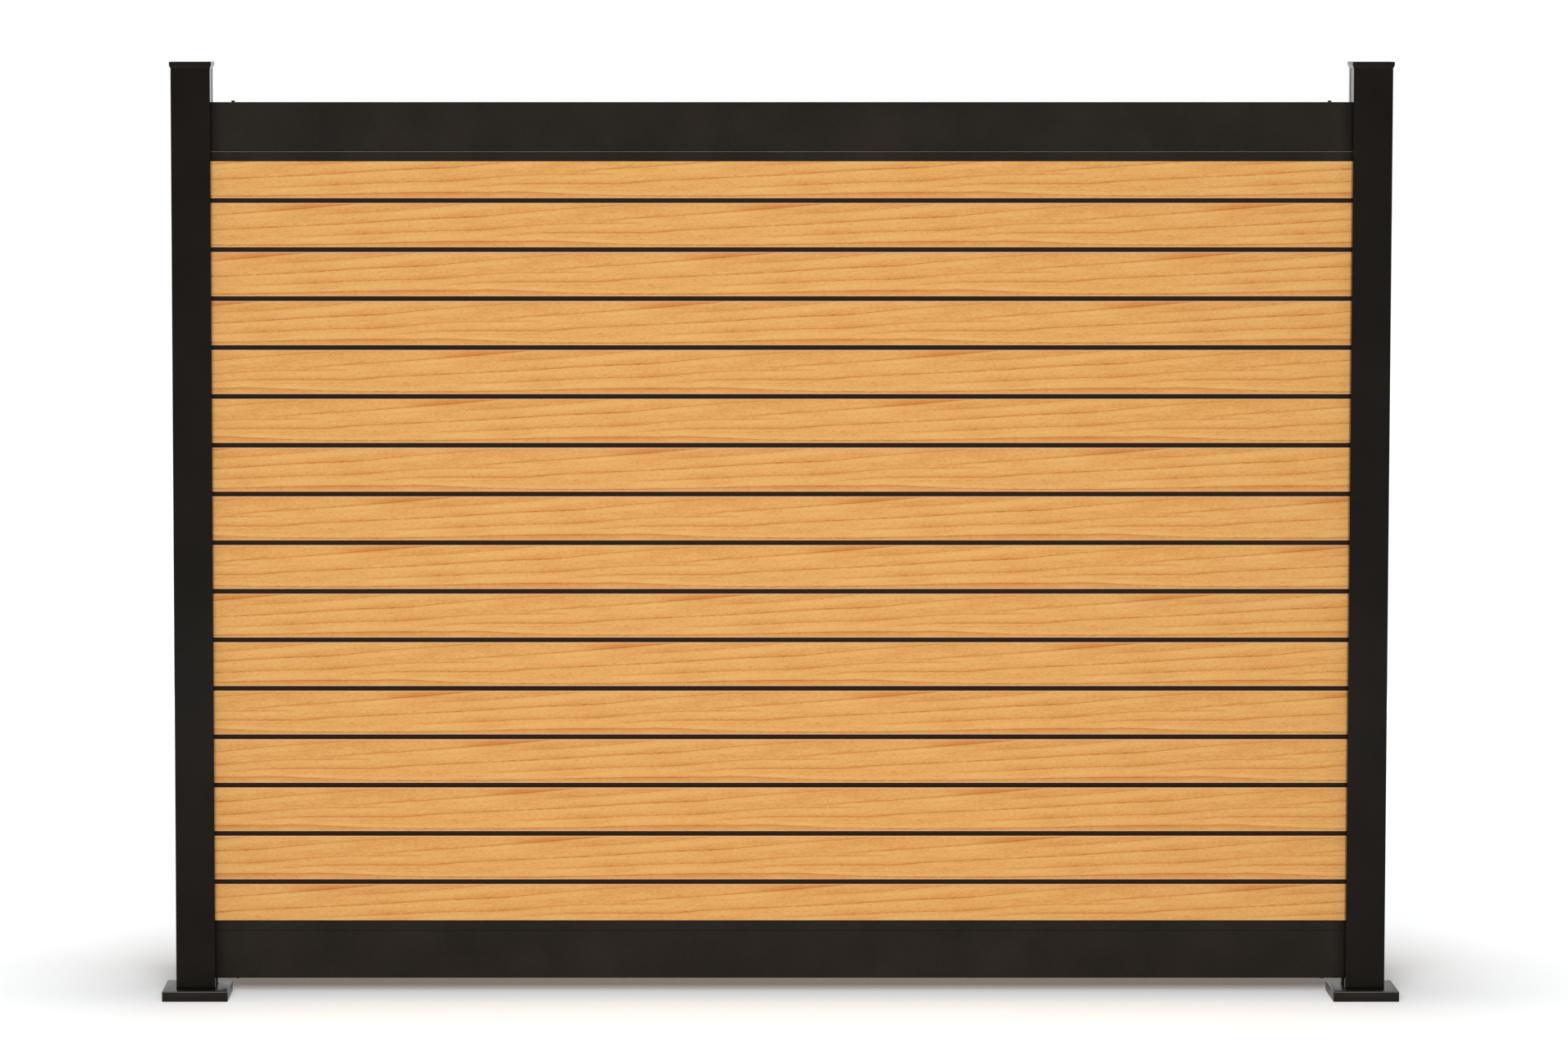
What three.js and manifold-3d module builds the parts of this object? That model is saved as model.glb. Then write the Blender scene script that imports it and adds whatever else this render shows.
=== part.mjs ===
// Garden privacy screen: a slatted fence panel, 2.4 m between post centres and 1.8 m high, between two posts.
//
// Two square posts stand on steel feet. A slot runs down each post's inner face, and everything between the
// posts slides into the two slots: a bottom rail, a stack of hollow wood-look slats with a black joiner strip
// in every joint, and a top rail. An H-shaped channel edges each rail and holds the outermost slat.
// A U-shaped bracket in each rail end ties the rail to the post. Caps close the posts, and a loose cover
// hides each foot. It slides up the post to uncover the anchor holes.
//
// Millimetres. +X runs along the screen, +Y to its back, +Z up. The origin is on the ground, midway between
// the posts. Long profiles are drawn as sections and extruded, as the real ones are.

import * as THREE from "three";
import { mergeVertices } from "three/addons/utils/BufferGeometryUtils.js";
import Module from "manifold-3d";

// ---------------------------------------------------------------- driving dimensions

// Layout
const POST_SPACING = 2400; // between the posts' centre lines
const GROUND_GAP = 40; // ground to the underside of the bottom rail
const SLAT_COUNT = 16;
const POST_ABOVE_RAIL = 68; // post standing above the top rail

// Clearances
const SEAT = 0.3; // between a piece and the one it rests on
const PROFILE_PLAY = 0.3; // each side, between profiles that slide over each other
const SLOT_PLAY = 0.5; // each side, between the channels and the post's slot
const SCREW_PLAY = 0.3; // round a screw's shank

// Slats and joiner strips
const PANEL_DEPTH = 30; // front to back, slats and rails alike
const SLAT_HEIGHT = 91;
const SLAT_EDGE_RADIUS = 1.2;
const SLAT_WALL = 1.3;
const JOINT_HEIGHT = 9; // black joint showing between two slats
const JOINER_DEPTH = 20; // so that the joint lies back from the slats' faces
const JOINER_WALL = 1.2;
const TONGUE_WIDTH = 10;
const TONGUE_HEIGHT = 8;
const TONGUE_TIP_PLAY = 1; // between a tongue's tip and the floor of its groove

// Rails and their slat channels
const RAIL_HEIGHT = 102;
const RAIL_WALL = 2;
const RAIL_CORNER = 1.5;
const CHANNEL_WALL = 1.4;
const CHANNEL_WEB = 1.9;
const SLAT_LAP = 15.5; // how far the outermost slat stands in its channel
const RAIL_LAP = 2; // how far the channel laps over the rail
const SLOT_ENTRY = 16; // how far slats and rails run into a post

// Posts
const POST_WIDTH = 80;
const POST_WALL = 2;
const POST_CORNER = 1.5;
const SLOT_DEPTH = 22;

// Rail brackets
const BRACKET_THICKNESS = 3;
const BRACKET_LEG = 80;
const BRACKET_SCREW_SPREAD = 52; // between the two screws into the post
const RAIL_SCREW_FROM_POST = 44;

// Screws
const SCREW_RADIUS = 2.1;
const SCREW_LENGTH = 16;
const HEAD_RADIUS = 4;
const HEAD_HEIGHT = 3;

// Feet
const FOOT_MARGIN = 22.5; // plate standing out beyond the post, each side
const FOOT_THICKNESS = 8;
const FOOT_CORNER = 5;
const ANCHOR_EDGE = 14.5; // anchor hole centre to the plate's edges
const ANCHOR_RADIUS = 6;
const SPIGOT_PLAY = 0.4; // each side, inside the post
const SPIGOT_WALL = 3;
const SPIGOT_ABOVE_SCREW = 40;
const WELD_DEPTH = 1; // spigot sunk into the plate

// Foot covers
const COVER_WALL = 2;
const COVER_MARGIN = 3; // from the foot plate's edge to the cover's inside
const BOLT_ROOM = 11; // inside height over the plate, for the anchor nuts
const COVER_CORNER = 3;
const COVER_EDGE_RADIUS = 1.5;
const COVER_PLAY = 0.5; // each side, round the post

// Caps
const CAP_OVERHANG = 2.75; // each side, beyond the post
const CAP_TAPER = 7; // height of the sloping underside
const CAP_BAND = 7; // height of the upright rim
const CAP_EDGE_RADIUS = 1;
const CAP_SKIN = 3; // thickness over the hollow
const CAP_SKIRT = 15; // how far the skirt reaches into the post
const CAP_SKIRT_WALL = 2;

// Facets
const CORNER_STEPS = 2;
const ROUND_STEPS = 12;

// ---------------------------------------------------------------- sizes that follow

const POST_HALF = POST_WIDTH / 2;
const POST_CENTRE = POST_SPACING / 2;
const POST_FACE = POST_CENTRE - POST_HALF; // inner face, from the middle of the screen
const PANEL_LENGTH = 2 * (POST_FACE + SLOT_ENTRY);

const JOINER_HEIGHT = JOINT_HEIGHT - 2 * SEAT;
const GROOVE_WIDTH = TONGUE_WIDTH + 2 * PROFILE_PLAY;
const GROOVE_DEPTH = TONGUE_HEIGHT + TONGUE_TIP_PLAY - SEAT;
const SLAT_PITCH = SLAT_HEIGHT + JOINT_HEIGHT;

const CHANNEL_INSIDE = PANEL_DEPTH + 2 * PROFILE_PLAY;
const CHANNEL_OUTSIDE = CHANNEL_INSIDE + 2 * CHANNEL_WALL;
const SLOT_WIDTH = CHANNEL_OUTSIDE + 2 * SLOT_PLAY;
const SLAT_SEAT = RAIL_HEIGHT + CHANNEL_WEB + 2 * SEAT; // a rail's outer edge to the slat's edge

const STACK_HEIGHT = SLAT_COUNT * SLAT_PITCH - JOINT_HEIGHT;
const PANEL_TOP = GROUND_GAP + STACK_HEIGHT + 2 * SLAT_SEAT;
const POST_TOP = PANEL_TOP + POST_ABOVE_RAIL;
const POST_FOOT = FOOT_THICKNESS + SEAT;

// The post's main chamber, behind the slot. Inward is +X in a post's own frame.
const SLOT_FLOOR = POST_HALF - SLOT_DEPTH;
const CHAMBER_OUT = -POST_HALF + POST_WALL;
const CHAMBER_IN = SLOT_FLOOR - POST_WALL;
const CHAMBER_SIDE = POST_HALF - POST_WALL;

// Bracket screws, from a rail's outer edge.
const BRACKET_SCREW_HEIGHTS = [-1, 1].map((s) => (RAIL_HEIGHT + s * BRACKET_SCREW_SPREAD) / 2);

const COVER_HEIGHT = FOOT_THICKNESS + BOLT_ROOM + COVER_WALL;
const FOOT_HALF = POST_HALF + FOOT_MARGIN;
const COVER_INSIDE_HALF = FOOT_HALF + COVER_MARGIN;

// ---------------------------------------------------------------- materials

const LOOKS = {
  slat: { color: 0xe1a661, roughness: 0.45, metalness: 0 },
  joiner: { color: 0x161412, roughness: 0.6, metalness: 0 },
  coat: { color: 0x282421, roughness: 0.5, metalness: 0 },
  cap: { color: 0x25211f, roughness: 0.5, metalness: 0 },
  galvanised: { color: 0x9a9d9f, roughness: 0.5, metalness: 0.9 },
  screw: { color: 0x2a2826, roughness: 0.4, metalness: 0.6 },
};

// ---------------------------------------------------------------- booleans

const wasm = await Module();
wasm.setup();

function toSolid(geometry) {
  const bare = geometry.clone();
  bare.deleteAttribute("normal");
  bare.deleteAttribute("uv");
  const merged = mergeVertices(bare, 1e-4);
  return new wasm.Manifold(
    new wasm.Mesh({
      numProp: 3,
      vertProperties: new Float32Array(merged.attributes.position.array),
      triVerts: new Uint32Array(merged.index.array),
    }),
  );
}

function toGeometry(solid) {
  const { vertProperties, triVerts } = solid.getMesh();
  const geometry = new THREE.BufferGeometry();
  geometry.setAttribute("position", new THREE.BufferAttribute(vertProperties, 3));
  geometry.setIndex(new THREE.BufferAttribute(triVerts, 1));
  return geometry;
}

const join = (first, second) => toGeometry(toSolid(first).add(toSolid(second)));

function cut(geometry, ...tools) {
  return toGeometry(tools.reduce((solid, tool) => solid.subtract(toSolid(tool)), toSolid(geometry)));
}

// ---------------------------------------------------------------- sections and how they are swept

// Points of a rectangle with round corners, anticlockwise.
function roundedOutline(x0, y0, x1, y1, radius) {
  const corners = [
    [x1 - radius, y0 + radius, -Math.PI / 2],
    [x1 - radius, y1 - radius, 0],
    [x0 + radius, y1 - radius, Math.PI / 2],
    [x0 + radius, y0 + radius, Math.PI],
  ];
  return corners.flatMap(([x, y, from]) => arcPoints(x, y, radius, from));
}

function arcPoints(x, y, radius, from) {
  const points = [];
  for (let i = 0; i <= CORNER_STEPS; i++) {
    const angle = from + (Math.PI / 2) * (i / CORNER_STEPS);
    points.push(new THREE.Vector2(x + radius * Math.cos(angle), y + radius * Math.sin(angle)));
  }
  return points;
}

function rectangle(x0, y0, x1, y1) {
  return polygon([x0, y0], [x1, y0], [x1, y1], [x0, y1]);
}

function polygon(...corners) {
  return corners.map(([x, y]) => new THREE.Vector2(x, y));
}

function section(outline, ...holes) {
  const shape = new THREE.Shape(outline);
  shape.holes = holes.map((hole) => new THREE.Path(hole));
  return shape;
}

function extrudeUp(shape, from, to) {
  const geometry = new THREE.ExtrudeGeometry(shape, { depth: to - from, bevelEnabled: false });
  return geometry.translate(0, 0, from);
}

// A section drawn as seen from the screen's end: its x is the screen's depth and its y is height.
const ALONG_SCREEN = new THREE.Matrix4().makeBasis(
  new THREE.Vector3(0, 1, 0),
  new THREE.Vector3(0, 0, 1),
  new THREE.Vector3(1, 0, 0),
);

function extrudeAlong(shape, length) {
  return extrudeUp(shape, -length / 2, length / 2).applyMatrix4(ALONG_SCREEN);
}

// A closed body through level rings that have the same number of points, lowest ring first.
function loft(rings) {
  const count = rings[0].points.length;
  const positions = rings.flatMap(({ points, z }) => points.flatMap((p) => [p.x, p.y, z]));
  const index = [];
  for (let r = 0; r < rings.length - 1; r++) {
    for (let i = 0; i < count; i++) {
      const a = r * count + i;
      const b = r * count + ((i + 1) % count);
      index.push(a, b, b + count, a, b + count, a + count);
    }
  }
  const top = (rings.length - 1) * count;
  for (let i = 1; i < count - 1; i++) index.push(0, i + 1, i, top, top + i, top + i + 1);
  const geometry = new THREE.BufferGeometry();
  geometry.setAttribute("position", new THREE.Float32BufferAttribute(positions, 3));
  return geometry.setIndex(index);
}

const squareRing = (half, radius, z) => ({ points: roundedOutline(-half, -half, half, half, radius), z });

// Rings of a square whose upper edge turns in with a small radius.
function roundedTop(half, corner, edge, top) {
  const rings = [];
  for (let i = 0; i <= CORNER_STEPS; i++) {
    const angle = (Math.PI / 2) * (i / CORNER_STEPS);
    const inset = edge * (1 - Math.cos(angle));
    rings.push(squareRing(half - inset, corner, top - edge * (1 - Math.sin(angle))));
  }
  return rings;
}

function drill(radius, from, to) {
  const geometry = new THREE.CylinderGeometry(radius, radius, to - from, ROUND_STEPS);
  return geometry.rotateX(Math.PI / 2).translate(0, 0, (from + to) / 2);
}

const alongX = (geometry) => geometry.rotateY(Math.PI / 2);

// ---------------------------------------------------------------- slats, joiners and channels

function slatGeometry() {
  const half = PANEL_DEPTH / 2;
  const groove = GROOVE_WIDTH / 2;
  const r = SLAT_EDGE_RADIUS;
  const outline = [
    ...polygon([-groove, 0], [-groove, GROOVE_DEPTH], [groove, GROOVE_DEPTH], [groove, 0]),
    ...arcPoints(half - r, r, r, -Math.PI / 2),
    ...arcPoints(half - r, SLAT_HEIGHT - r, r, 0),
    ...polygon(
      [groove, SLAT_HEIGHT],
      [groove, SLAT_HEIGHT - GROOVE_DEPTH],
      [-groove, SLAT_HEIGHT - GROOVE_DEPTH],
      [-groove, SLAT_HEIGHT],
    ),
    ...arcPoints(-half + r, SLAT_HEIGHT - r, r, Math.PI / 2),
    ...arcPoints(-half + r, r, r, Math.PI),
  ];
  return extrudeAlong(section(outline, ...slatChambers()), PANEL_LENGTH);
}

// Three chambers one above the other. The outer two reach round the grooves.
function slatChambers() {
  const half = PANEL_DEPTH / 2 - SLAT_WALL;
  const beside = GROOVE_WIDTH / 2 + SLAT_WALL;
  const behind = GROOVE_DEPTH + SLAT_WALL;
  const webs = [1, 2].map((i) => (SLAT_HEIGHT * i) / 3);
  const lower = polygon(
    [-half, SLAT_WALL],
    [-beside, SLAT_WALL],
    [-beside, behind],
    [beside, behind],
    [beside, SLAT_WALL],
    [half, SLAT_WALL],
    [half, webs[0] - SLAT_WALL / 2],
    [-half, webs[0] - SLAT_WALL / 2],
  );
  const upper = lower.map((p) => new THREE.Vector2(p.x, SLAT_HEIGHT - p.y)).reverse();
  const middle = rectangle(-half, webs[0] + SLAT_WALL / 2, half, webs[1] - SLAT_WALL / 2);
  return [lower, middle, upper];
}

// A hollow cross: the body shows in the joint, the tongues stand in the grooves above and below.
function joinerGeometry() {
  const cross = (inset) => {
    const body = JOINER_DEPTH / 2 - inset;
    const tongue = TONGUE_WIDTH / 2 - inset;
    const low = inset;
    const high = JOINER_HEIGHT - inset;
    const reach = TONGUE_HEIGHT;
    return polygon(
      [-tongue, low - reach],
      [tongue, low - reach],
      [tongue, low],
      [body, low],
      [body, high],
      [tongue, high],
      [tongue, high + reach],
      [-tongue, high + reach],
      [-tongue, high],
      [-body, high],
      [-body, low],
      [-tongue, low],
    );
  };
  return extrudeAlong(section(cross(0), cross(JOINER_WALL)), PANEL_LENGTH);
}

// The H-section between a rail and the outermost slat, from the rail's outer edge at 0.
function channelGeometry() {
  const out = CHANNEL_OUTSIDE / 2;
  const inside = CHANNEL_INSIDE / 2;
  const railEnd = RAIL_HEIGHT - RAIL_LAP;
  const webLow = RAIL_HEIGHT + SEAT;
  const webHigh = webLow + CHANNEL_WEB;
  const slatEnd = SLAT_SEAT + SLAT_LAP;
  const outline = polygon(
    [inside, railEnd],
    [out, railEnd],
    [out, slatEnd],
    [inside, slatEnd],
    [inside, webHigh],
    [-inside, webHigh],
    [-inside, slatEnd],
    [-out, slatEnd],
    [-out, railEnd],
    [-inside, railEnd],
    [-inside, webLow],
    [inside, webLow],
  );
  return extrudeAlong(section(outline), PANEL_LENGTH);
}

// ---------------------------------------------------------------- rails and brackets

function railGeometry() {
  const half = PANEL_DEPTH / 2;
  const w = RAIL_WALL;
  const tube = section(
    roundedOutline(-half, 0, half, RAIL_HEIGHT, RAIL_CORNER),
    rectangle(-half + w, w, half - w, RAIL_HEIGHT - w),
  );
  const holes = [-1, 1].map((side) =>
    drill(SCREW_RADIUS + SCREW_PLAY, -w, 2 * w).translate(side * (POST_FACE - RAIL_SCREW_FROM_POST), 0, 0),
  );
  return cut(extrudeAlong(tube, PANEL_LENGTH), ...holes);
}

// A U on its side, drawn from the front: its back stands on the slot's floor and its legs lie in the rail.
function bracketGeometry() {
  const t = BRACKET_THICKNESS;
  const width = PANEL_DEPTH - 2 * RAIL_WALL - 2 * PROFILE_PLAY;
  const back = SLOT_FLOOR + SEAT;
  const tip = back + BRACKET_LEG;
  const low = RAIL_WALL + SEAT;
  const high = RAIL_HEIGHT - RAIL_WALL - SEAT;
  const u = polygon(
    [back, low],
    [tip, low],
    [tip, low + t],
    [back + t, low + t],
    [back + t, high - t],
    [tip, high - t],
    [tip, high],
    [back, high],
  );
  const body = extrudeUp(section(u), -width / 2, width / 2).rotateX(Math.PI / 2);
  const postHoles = BRACKET_SCREW_HEIGHTS.map((z) => postScrewHole(back - t, back + 2 * t, z));
  const railHole = drill(SCREW_RADIUS + SCREW_PLAY, low - t, low + 2 * t);
  return cut(body, ...postHoles, railHole.translate(POST_HALF + RAIL_SCREW_FROM_POST, 0, 0));
}

function postScrewHole(from, to, z) {
  return alongX(drill(SCREW_RADIUS + SCREW_PLAY, from, to)).translate(0, 0, z);
}

// Pan head above z = 0, shank and point below.
function screwGeometry() {
  const crown = HEAD_RADIUS * 0.7;
  const point = SCREW_RADIUS * 1.5;
  const profile = polygon(
    [0, -SCREW_LENGTH],
    [SCREW_RADIUS, -SCREW_LENGTH + point],
    [SCREW_RADIUS, 0],
    [HEAD_RADIUS, 0],
    [HEAD_RADIUS, HEAD_HEIGHT * 0.6],
    [crown, HEAD_HEIGHT],
    [0, HEAD_HEIGHT],
  );
  return new THREE.LatheGeometry(profile, ROUND_STEPS).rotateX(Math.PI / 2);
}

// ---------------------------------------------------------------- posts, caps, feet and covers

function postGeometry() {
  const h = POST_HALF;
  const slot = SLOT_WIDTH / 2;
  const lip = slot + POST_WALL;
  const corner = h - POST_CORNER;
  const outline = [
    ...polygon([h, -slot], [SLOT_FLOOR, -slot], [SLOT_FLOOR, slot], [h, slot]),
    ...arcPoints(corner, corner, POST_CORNER, 0),
    ...arcPoints(-corner, corner, POST_CORNER, Math.PI / 2),
    ...arcPoints(-corner, -corner, POST_CORNER, Math.PI),
    ...arcPoints(corner, -corner, POST_CORNER, -Math.PI / 2),
  ];
  const side = CHAMBER_SIDE;
  const chamber = polygon(
    [CHAMBER_OUT, -side],
    [side, -side],
    [side, -lip],
    [CHAMBER_IN, -lip],
    [CHAMBER_IN, lip],
    [side, lip],
    [side, side],
    [CHAMBER_OUT, side],
  );
  const tube = extrudeUp(section(outline, chamber), POST_FOOT, POST_TOP);
  const heights = BRACKET_SCREW_HEIGHTS.flatMap((z) => [GROUND_GAP + z, PANEL_TOP - z]);
  return cut(tube, ...heights.map((z) => postScrewHole(CHAMBER_IN - POST_WALL, SLOT_FLOOR + POST_WALL, z)));
}

function capGeometry() {
  const seat = POST_TOP + SEAT;
  const half = POST_HALF + CAP_OVERHANG;
  const top = seat + CAP_TAPER + CAP_BAND;
  const head = loft([
    squareRing(POST_HALF, POST_CORNER, seat),
    squareRing(half, POST_CORNER, seat + CAP_TAPER),
    ...roundedTop(half, POST_CORNER, CAP_EDGE_RADIUS, top),
  ]);
  const p = PROFILE_PLAY;
  const skirt = rectangle(CHAMBER_OUT + p, -CHAMBER_SIDE + p, CHAMBER_IN - p, CHAMBER_SIDE - p);
  const w = p + CAP_SKIRT_WALL;
  const hollow = rectangle(CHAMBER_OUT + w, -CHAMBER_SIDE + w, CHAMBER_IN - w, CHAMBER_SIDE - w);
  const low = seat - CAP_SKIRT;
  return cut(
    join(head, extrudeUp(section(skirt), low, seat + CAP_TAPER / 2)),
    extrudeUp(section(hollow), low - CAP_SKIRT_WALL, top - CAP_SKIN),
  );
}

function footGeometry() {
  const half = FOOT_HALF;
  const anchor = half - ANCHOR_EDGE;
  const signs = [-1, 1];
  const holes = signs.flatMap((x) => signs.map((y) => circle(x * anchor, y * anchor, ANCHOR_RADIUS)));
  const plate = section(roundedOutline(-half, -half, half, half, FOOT_CORNER), ...holes);
  const p = SPIGOT_PLAY;
  const w = p + SPIGOT_WALL;
  const spigot = section(
    rectangle(CHAMBER_OUT + p, -CHAMBER_SIDE + p, CHAMBER_IN - p, CHAMBER_SIDE - p),
    rectangle(CHAMBER_OUT + w, -CHAMBER_SIDE + w, CHAMBER_IN - w, CHAMBER_SIDE - w),
  );
  const top = GROUND_GAP + Math.max(...BRACKET_SCREW_HEIGHTS) + SPIGOT_ABOVE_SCREW;
  const body = join(
    extrudeUp(plate, 0, FOOT_THICKNESS),
    extrudeUp(spigot, FOOT_THICKNESS - WELD_DEPTH, top),
  );
  const reach = [CHAMBER_IN - 2 * w, SLOT_FLOOR];
  return cut(body, ...BRACKET_SCREW_HEIGHTS.map((z) => postScrewHole(...reach, GROUND_GAP + z)));
}

function circle(x, y, radius) {
  const points = [];
  for (let i = 0; i < ROUND_STEPS; i++) {
    const angle = (2 * Math.PI * i) / ROUND_STEPS;
    points.push(new THREE.Vector2(x + radius * Math.cos(angle), y + radius * Math.sin(angle)));
  }
  return points;
}

function coverGeometry() {
  const half = COVER_INSIDE_HALF + COVER_WALL;
  const shell = loft([
    squareRing(half, COVER_CORNER, 0),
    ...roundedTop(half, COVER_CORNER, COVER_EDGE_RADIUS, COVER_HEIGHT),
  ]);
  const inside = COVER_INSIDE_HALF;
  const hollow = rectangle(-inside, -inside, inside, inside);
  const post = POST_HALF + COVER_PLAY;
  const opening = roundedOutline(-post, -post, post, post, POST_CORNER);
  return cut(
    shell,
    extrudeUp(section(hollow), -COVER_WALL, COVER_HEIGHT - COVER_WALL),
    extrudeUp(section(opening), 0, COVER_HEIGHT + COVER_WALL),
  );
}

// ---------------------------------------------------------------- assembly

function piece(name, geometry, look) {
  const mesh = new THREE.Mesh(geometry, new THREE.MeshStandardMaterial(LOOKS[look]));
  mesh.name = name;
  return mesh;
}

const number = (i) => String(i + 1).padStart(2, "0");

// Slats are numbered from the top, and joiner n lies under slat n.
function infill() {
  const group = new THREE.Group();
  const slat = slatGeometry();
  const joiner = joinerGeometry();
  const stackTop = PANEL_TOP - SLAT_SEAT;
  for (let i = 0; i < SLAT_COUNT; i++) {
    const low = stackTop - SLAT_HEIGHT - i * SLAT_PITCH;
    const board = piece(`slat_${number(i)}`, slat, "slat");
    board.position.z = low;
    group.add(board);
    if (i === SLAT_COUNT - 1) break;
    const strip = piece(`joiner_${number(i)}`, joiner, "joiner");
    strip.position.z = low - JOINT_HEIGHT + SEAT;
    group.add(strip);
  }
  return group;
}

const SCREW = screwGeometry();

// A rail with its channel, brackets and screws. The rail's outer edge is at 0 and the slats are above.
function railAssembly(level) {
  const group = new THREE.Group();
  group.add(piece(`${level}_rail`, railGeometry(), "coat"));
  group.add(piece(`${level}_slat_channel`, channelGeometry(), "coat"));
  for (const side of ["left", "right"]) group.add(railEnd(level, side));
  return group;
}

function railEnd(level, side) {
  const group = atPost(side);
  group.add(piece(`${level}_${side}_bracket`, bracketGeometry(), "galvanised"));

  const railScrew = piece(`${level}_${side}_rail_screw`, SCREW, "screw");
  railScrew.rotation.x = Math.PI;
  railScrew.position.set(POST_HALF + RAIL_SCREW_FROM_POST, 0, -SEAT);
  group.add(railScrew);

  BRACKET_SCREW_HEIGHTS.forEach((z, i) => {
    const screw = piece(`${level}_${side}_bracket_screw_${number(i)}`, SCREW, "galvanised");
    screw.rotation.y = Math.PI / 2;
    screw.position.set(SLOT_FLOOR + BRACKET_THICKNESS + 2 * SEAT, 0, z);
    group.add(screw);
  });
  return group;
}

// A post's own frame: its centre line at 0, and +X towards the other post.
function atPost(side) {
  const group = new THREE.Group();
  group.position.x = side === "left" ? -POST_CENTRE : POST_CENTRE;
  group.rotation.z = side === "left" ? 0 : Math.PI;
  return group;
}

function postAssembly(side) {
  const group = atPost(side);
  group.add(piece(`${side}_post`, postGeometry(), "coat"));
  group.add(piece(`${side}_cap`, capGeometry(), "cap"));
  group.add(piece(`${side}_foot`, footGeometry(), "galvanised"));
  group.add(piece(`${side}_foot_cover`, coverGeometry(), "coat"));
  return group;
}

function gardenPrivacyScreen() {
  const screen = new THREE.Group();
  const bottom = railAssembly("bottom");
  bottom.position.z = GROUND_GAP;
  const top = railAssembly("top");
  top.rotation.x = Math.PI;
  top.position.z = PANEL_TOP;
  screen.add(infill(), bottom, top, postAssembly("left"), postAssembly("right"));
  return screen;
}

export default gardenPrivacyScreen();
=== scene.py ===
# %% [markdown]
# # A garden privacy screen, dressed in Blender
#
# The screen is a bay of slatted aluminium fence: two black posts with caps and foot covers, two black
# rails, and sixteen wood-look slats with a black joint strip between each two. Its construction comes
# ready-made, at real size, as solids that stay as they are. This script gives each its finish, swaps the
# plain screws for threaded ones, closes the posts' slots with two cover strips, and adds a floor, light
# and camera. Blender's lengths are metres, so sizes in millimetres are multiplied by `MM`.

# %% Load the construction
import math
import bmesh
import bpy
from mathutils import Matrix, Vector


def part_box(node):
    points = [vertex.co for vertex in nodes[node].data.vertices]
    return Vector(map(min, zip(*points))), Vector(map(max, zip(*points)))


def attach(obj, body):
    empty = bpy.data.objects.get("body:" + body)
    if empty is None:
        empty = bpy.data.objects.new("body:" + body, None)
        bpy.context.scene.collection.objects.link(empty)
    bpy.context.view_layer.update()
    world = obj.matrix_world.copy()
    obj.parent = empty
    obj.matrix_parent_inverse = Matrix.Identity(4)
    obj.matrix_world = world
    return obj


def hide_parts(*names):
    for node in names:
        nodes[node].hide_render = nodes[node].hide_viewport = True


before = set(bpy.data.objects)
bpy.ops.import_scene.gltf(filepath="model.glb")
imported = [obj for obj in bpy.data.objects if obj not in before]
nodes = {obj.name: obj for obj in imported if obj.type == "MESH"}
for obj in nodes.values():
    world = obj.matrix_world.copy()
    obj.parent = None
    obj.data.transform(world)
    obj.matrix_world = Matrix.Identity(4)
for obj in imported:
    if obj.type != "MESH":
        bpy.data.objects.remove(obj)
bpy.context.view_layer.update()

MM = 0.001
SLATS = sorted(name for name in nodes if name.startswith("slat_"))
JOINERS = sorted(name for name in nodes if name.startswith("joiner_"))

# %% [markdown]
# ## The camera
#
# The picture was taken from 11 m with a long lens, a little left of the middle and just above the caps,
# so the tops of the foot covers show and the tops of the caps hardly do. A view camera would stay level
# and shift its lens down by a third of the picture. So large a shift would push the screen out of the
# other views, so most of it is a tilt here. The upright edges lean by less than half a degree for it.

# %% Camera
CAMERA_PLACE = (-0.249, -11.04, 2.052)
CAMERA_TILT = math.radians(4.219)
SENSOR_WIDTH = 36
FOCAL_LENGTH = 124.35
LENS_SHIFT = (0.0797, -0.08)

camera_data = bpy.data.cameras.new("camera")
camera_data.sensor_width = SENSOR_WIDTH
camera_data.lens = FOCAL_LENGTH
camera_data.shift_x, camera_data.shift_y = LENS_SHIFT
camera = bpy.data.objects.new("camera", camera_data)
camera.location = CAMERA_PLACE
camera.rotation_euler = (math.pi / 2 - CAMERA_TILT, 0, 0)
bpy.context.scene.collection.objects.link(camera)
bpy.context.scene.camera = camera
bpy.context.scene.view_settings.view_transform = "Standard"
print(f"camera {FOCAL_LENGTH} mm at {CAMERA_PLACE}")

# %% [markdown]
# ## Helpers for materials
#
# Colours are written as sRGB hex values, the way a paint chart or a picture gives them. Blender's nodes
# take linear light, so one function converts them. A second one adds a node: its settings are plain
# keywords, and `inputs` gives each input a value, another node, or one of another node's outputs. The
# rest make an empty material, read a point's place in millimetres and set the stops of a colour ramp.

# %% Helpers for colours and nodes
def linear(hex_colour):
    """An sRGB hex colour as linear RGBA."""
    channels = [int(hex_colour[i : i + 2], 16) / 255 for i in (1, 3, 5)]
    return [c / 12.92 if c <= 0.04045 else ((c + 0.055) / 1.055) ** 2.4 for c in channels] + [1.0]


def add(tree, kind, inputs=None, **settings):
    """Adds a node with settings and fills or links its inputs. A node as an input means its first output."""
    node = tree.nodes.new(kind)
    for name, value in settings.items():
        setattr(node, name, value)
    for key, value in (inputs or {}).items():
        socket = next(s for i, s in enumerate(node.inputs) if s.enabled and key in (i, s.name))
        if isinstance(value, bpy.types.Node):
            value = next(s for s in value.outputs if s.enabled)
        if isinstance(value, bpy.types.NodeSocket):
            tree.links.new(value, socket)
        else:
            socket.default_value = value
    return node


def material_tree(name):
    """A new material and its empty node tree."""
    material = bpy.data.materials.new(name)
    material.use_nodes = True
    material.node_tree.nodes.clear()
    return material, material.node_tree


def millimetres(tree):
    """A point's place on the screen, in millimetres."""
    place = add(tree, "ShaderNodeTexCoord").outputs["Object"]
    return add(tree, "ShaderNodeVectorMath", {0: place, "Scale": 1 / MM}, operation="SCALE")


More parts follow.
